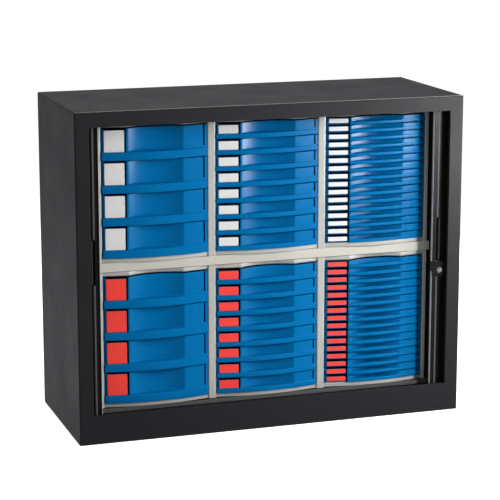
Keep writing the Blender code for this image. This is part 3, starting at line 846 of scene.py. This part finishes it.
def front_slats(name):
    """The slats of the front run, packed behind the frame at rest."""
    side, edge, travel = BARS[name]
    hook = edge + 0.0222
    outer_end = CURTAIN_X - BEND - 0.0003
    packed = outer_end - hook

    def closed(t):
        """How far from the frame a point of the run lies with the shutter closed."""
        return t * packed + (t * t * (3 - 2 * t)) * travel

    length = closed(1.0)
    count = round(length / SLAT)

    def rest(distance):
        """Where that point lies at rest, found by halving."""
        lo, hi = 0.0, 1.0
        for _ in range(50):
            mid = (lo + hi) / 2
            if closed(mid) < distance:
                lo = mid
            else:
                hi = mid
        return outer_end - packed * (lo + hi) / 2

    step = length / count
    front, rear = [], []
    for k in range(count):
        for share, off in SLAT_FACE:
            front.append((rest((k + share) * step), CURTAIN_Y - off))
        for share in (0.0, 0.5):
            rear.append((rest((k + share) * step), CURTAIN_Y + (SLAT_REAR if share else JOINT_REAR)))
    front.append((rest(length), CURTAIN_Y - SLAT_FACE[0][1]))
    rear.append((rest(length), CURTAIN_Y + JOINT_REAR))
    outline = [(side * x, y) for x, y in front + rear[::-1]]
    mesh = gather("front_slats", [plan(outline, TRACK_LOW, TRACK_HIGH)])
    node = piece(f"slats_{name}_front", mesh, SHUTTER, None)
    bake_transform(node)


for name in BARS:
    bar = piece(f"lead_bar_{name}_profile", bar_mesh(name), SHUTTER, f"shutter_{name}")
    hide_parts(f"lead_bar_{name}")
    runs = [BAR_ENDS] if name == "left" else [(BAR_ENDS[0], CATCH_LOW), (CATCH_HIGH, BAR_ENDS[1])]
    piece(f"lead_bar_{name}_strip", strip_mesh(name, runs), STRIP, f"shutter_{name}")
    # painted highlight: the bead's lighter anthracite stands in for light on the band's edge
    piece(f"lead_bar_{name}_bead", highlight_bead_mesh(name), TRIM_AND_HIGHLIGHT, f"shutter_{name}")
    # painted highlight: the grip's far wall is lighter to stand in for the light it catches
    piece(f"lead_bar_{name}_grip", grip_highlight_mesh(name), TRIM_AND_HIGHLIGHT, f"shutter_{name}")
    stored = piece(f"slats_{name}_stored", stored_slats(name), SHUTTER, "carcass")
    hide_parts(f"curtain_{name}")
    front_slats(name)

barrel = piece("lock_barrel_chrome", turned("lock", LOCK_PROFILE), CHROME, "lock", LOCK)
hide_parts("lock_barrel")
# painted shade: a black ring in the lock's groove, where there is only shade
piece("lock_groove_shade", turned("groove", GROOVE_SHADE_PROFILE), SHUTTER, "lock", LOCK)
# painted shade: a black plate on the lock's face for the shaded slot of the keyway
piece("lock_keyway_shade", keyway_shade_mesh(), SHUTTER, "lock", LOCK)
piece("lock_plate", lock_plate_mesh(), SHUTTER, "shutter_right")
catch = strip_mesh("right", [(CATCH_LOW, CATCH_HIGH)])
piece("lock_catch", catch, TRIM_AND_HIGHLIGHT, "shutter_right")


# Folded edges


def floor_edge():
    """The folded front edge of the floor, under the casings, painted in the lighter anthracite as the
    light on its face.
    """
    corners = (
        (-0.1786, 0.0740, 0),
        (-0.1795, 0.0740, 0),
        (-0.1795, 0.0866, 0.0006),
        (-0.1786, 0.0866, 0),
    )
    outline = fillet(corners)
    mesh = smooth(gather("floor_edge", [across(lambda x: outline, (-0.5278, 0.5278))]))
    # painted highlight: the lighter anthracite stands in for light on the edge's face
    piece("floor_edge", mesh, TRIM_AND_HIGHLIGHT, "carcass")


def top_edge():
    """The fold along the front of the top, painted light grey as the highlight of the light it catches.
    """
    corners = (
        (-0.2402, 0.9788, 0.0003),
        (-0.2402, 0.9802, 0.0008),
        (-0.2386, 0.9802, 0.0003),
        (-0.2386, 0.9788, 0),
    )
    outline = fillet(corners, 4)
    mesh = smooth(gather("top_edge", [across(lambda x: outline, (-0.5990, 0.5990))]))
    piece("top_edge", mesh, EDGE_HIGHLIGHT, "carcass")


floor_edge()
top_edge()


# Floor, light and camera


def seen_directly(tree):
    """1 for the rays that show the background: to the camera, in a reflection or through glass."""
    path = tree.nodes.new("ShaderNodeLightPath")
    total = path.outputs["Is Camera Ray"]
    for name in ("Is Glossy Ray", "Is Transmission Ray"):
        node = tree.nodes.new("ShaderNodeMath")
        node.operation = "MAXIMUM"
        tree.links.new(total, node.inputs[0])
        tree.links.new(path.outputs[name], node.inputs[1])
        total = node.outputs["Value"]
    return total


def floor():
    """A plain floor that is white to the eye and grey to the light it throws back."""
    material = bpy.data.materials.new("pale_floor")
    material.use_nodes = True
    tree = material.node_tree
    shader = tree.nodes["Principled BSDF"]
    shader.inputs["Roughness"].default_value = 0.7
    coords = tree.nodes.new("ShaderNodeTexCoord")
    noise = tree.nodes.new("ShaderNodeTexNoise")
    noise.inputs["Scale"].default_value = 2.0
    ramp = tree.nodes.new("ShaderNodeValToRGB")
    ramp.color_ramp.elements[0].color = (0.30, 0.30, 0.30, 1)
    ramp.color_ramp.elements[1].color = (0.34, 0.34, 0.34, 1)
    tree.links.new(coords.outputs["Object"], noise.inputs["Vector"])
    tree.links.new(noise.outputs["Fac"], ramp.inputs["Fac"])
    tree.links.new(ramp.outputs["Color"], shader.inputs["Base Color"])
    glow = tree.nodes.new("ShaderNodeEmission")
    glow.inputs["Color"].default_value = (1, 1, 1, 1)
    glow.inputs["Strength"].default_value = 0.82
    paper = tree.nodes.new("ShaderNodeBsdfDiffuse")
    paper.inputs["Color"].default_value = (0.8, 0.8, 0.8, 1)
    seen = tree.nodes.new("ShaderNodeAddShader")
    tree.links.new(glow.outputs["Emission"], seen.inputs[0])
    tree.links.new(paper.outputs["BSDF"], seen.inputs[1])
    mix = tree.nodes.new("ShaderNodeMixShader")
    tree.links.new(seen_directly(tree), mix.inputs["Fac"])
    tree.links.new(shader.outputs["BSDF"], mix.inputs[1])
    tree.links.new(seen.outputs["Shader"], mix.inputs[2])
    tree.links.new(mix.outputs["Shader"], tree.nodes["Material Output"].inputs["Surface"])
    mesh = mesh_of("floor", [(-8, -8, 0), (8, -8, 0), (8, 8, 0), (-8, 8, 0)], [(0, 1, 2, 3)])
    mesh.materials.append(material)
    node = bpy.data.objects.new("floor", mesh)
    node.location = (0, 0, -0.0006)
    bpy.context.scene.collection.objects.link(node)


def world():
    """A white surround that lights the object only softly."""
    sky = bpy.data.worlds.new("studio")
    bpy.context.scene.world = sky
    sky.use_nodes = True
    tree = sky.node_tree
    lit = tree.nodes["Background"]
    lit.inputs["Color"].default_value = (1.0, 1.0, 1.0, 1)
    lit.inputs["Strength"].default_value = 0.24
    seen = tree.nodes.new("ShaderNodeBackground")
    seen.inputs["Color"].default_value = (1, 1, 1, 1)
    seen.inputs["Strength"].default_value = 1.0
    mix = tree.nodes.new("ShaderNodeMixShader")
    tree.links.new(seen_directly(tree), mix.inputs["Fac"])
    tree.links.new(lit.outputs["Background"], mix.inputs[1])
    tree.links.new(seen.outputs["Background"], mix.inputs[2])
    tree.links.new(mix.outputs["Shader"], tree.nodes["World Output"].inputs["Surface"])


def lamp(name, place, target, size, watts, mirrored=True, lights=True):
    """An area lamp; one that isn't mirrored gives no gloss, and one without lights gives nothing else."""
    data = bpy.data.lights.new(name, "AREA")
    data.shape = "RECTANGLE"
    data.size, data.size_y = size
    data.energy = watts
    node = bpy.data.objects.new(name, data)
    node.location = place
    node.rotation_euler = (Vector(target) - Vector(place)).to_track_quat("-Z", "Y").to_euler()
    node.visible_camera = False
    node.visible_glossy = mirrored
    node.visible_diffuse = lights
    bpy.context.scene.collection.objects.link(node)


floor()
world()
# The gloss lamps stay below the plane of the top, so that it doesn't mirror them.
lamp("key", (1.62, -2.40, 1.50), (0.1, -0.2, 0.5), (0.12, 0.45), 38, mirrored=False)
lamp("sheen", (1.50, -1.85, 1.95), (0.2, -0.2, 0.6), (0.35, 0.70), 24, mirrored=False)
lamp("side", (1.95, -0.85, 0.60), (0.2, -0.2, 0.45), (1.0, 1.1), 19, mirrored=False)
lamp("low", (1.70, -2.20, 0.28), (0.0, -0.2, 0.20), (0.3, 0.4), 8, mirrored=False)
lamp("gloss", (1.166, -0.627, 0.835), (0.366, -0.177, 0.835), (0.25, 0.26), 62, lights=False)
lamp("soft_gloss", (1.019, -0.889, 0.835), (0.219, -0.439, 0.835), (0.35, 0.26), 28, lights=False)
lamp("rear", (1.20, 2.40, 0.50), (0, 0.24, 0.5), (1.8, 0.9), 41)
lamp("left", (-1.75, 0.15, 0.16), (-0.6, 0.05, 0.25), (0.6, 0.3), 8, mirrored=False)
lamp("fill", (-2.50, -3.20, 1.60), (0, 0, 0.45), (2.0, 2.0), 4.5, mirrored=False)
lamp("top", (0.2, 0.1, 2.60), (0, 0, 0.9), (2.4, 1.8), 33)
lamp("bounce", (-1.60, 1.40, 1.20), (-1.0, 1.0, 0), (0.8, 0.8), 10, mirrored=False)

camera_data = bpy.data.cameras.new("camera")
camera_data.lens = 137.6
camera_data.sensor_width = 36.0
camera_data.clip_end = 60
camera = bpy.data.objects.new("camera", camera_data)
yaw, pitch_down = math.radians(18.42), math.radians(12.12)
camera.location = (-1.815, -5.456, 1.731)
camera.rotation_euler = (math.pi / 2 - pitch_down, 0, -yaw)
bpy.context.scene.collection.objects.link(camera)
bpy.context.scene.camera = camera
bpy.context.scene.view_settings.view_transform = "Standard"
